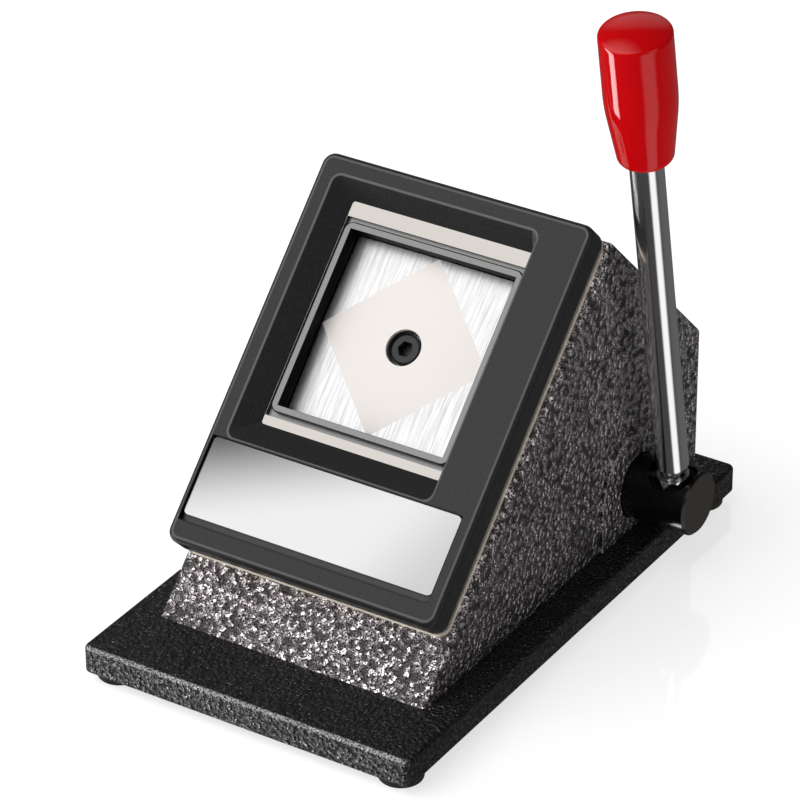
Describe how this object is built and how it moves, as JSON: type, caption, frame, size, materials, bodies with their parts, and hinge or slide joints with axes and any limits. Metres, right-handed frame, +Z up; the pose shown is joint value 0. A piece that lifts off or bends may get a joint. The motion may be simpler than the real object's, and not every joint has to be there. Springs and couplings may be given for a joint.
{
  "type": "photo die cutter",
  "caption": "Tabletop die cutter: a sloped hammered body with a square die window and punch, worked by a side lever with a red grip.",
  "frame": {"origin": "on the table, under the middle of the outline box", "axes": "+Z up, -Y is the low front edge that faces the user, +X is the side with the lever"},
  "size_m": [0.1136, 0.17, 0.1742],
  "materials": {
    "hammer_paint": "hammertone",
    "rubber": "matte",
    "zinc_steel": "satin",
    "black_steel": "oxide black",
    "bright_steel": "satin",
    "tool_steel": "ground",
    "ground_steel": "ground",
    "spring_steel": "satin",
    "bronze": "satin",
    "cast_iron": "machined",
    "chrome": "polished",
    "label_aluminium": "satin",
    "charcoal_plastic": "satin",
    "black_gloss": "gloss",
    "red_gloss": "gloss"
  },
  "bodies": {
    "frame": {"base_plate": "hammer_paint", "rubber_feet": "rubber", "foot_screws": "zinc_steel", "body_casting": "hammer_paint", "body_bolts": "black_steel", "mounting_plate": "bright_steel", "slot_shim": "bright_steel", "die_plate": "tool_steel", "guide_plate": "bright_steel", "die_screws": "black_steel", "bezel": "charcoal_plastic", "bezel_screws": "black_steel", "label_plate": "label_aluminium", "guide_posts": "ground_steel", "post_rings": "black_steel", "shaft_bushes": "bronze", "shaft_end_cap": "black_gloss", "return_springs": "spring_steel"},
    "lever": {"cam_shaft": "ground_steel", "cam": "tool_steel", "cam_key": "ground_steel", "thrust_washers": "bronze", "shaft_collars": "black_steel", "collar_screws": "black_steel", "lever_hub": "black_gloss", "hub_pin": "ground_steel", "lever_rod": "chrome", "jam_nut": "chrome", "lever_grip": "red_gloss"},
    "ram": {"ram": "cast_iron", "carriage_bushes": "bronze", "punch": "ground_steel", "punch_screw": "black_steel", "punch_dowels": "ground_steel", "wear_pad": "tool_steel", "wear_pad_screws": "black_steel"}
  },
  "joints": [
    {"name": "lever_turn", "type": "hinge", "parent": "frame", "child": "lever", "pos_m": [-0.00653, 0.0437, 0.0227], "axis": [1, 0, 0], "range_deg": [0, 75]},
    {"name": "ram_slide", "type": "slide", "parent": "frame", "child": "ram", "axis": [0, -0.7071, 0.7071], "range_m": [0, 0.00754], "stiffness_N_per_m": 250, "springref_m": -0.006, "deforming": ["return_springs"]}
  ],
  "couplings": [
    {"joint": "ram_slide", "follows": "lever_turn", "m_per_rad": 0.00575}
  ]
}
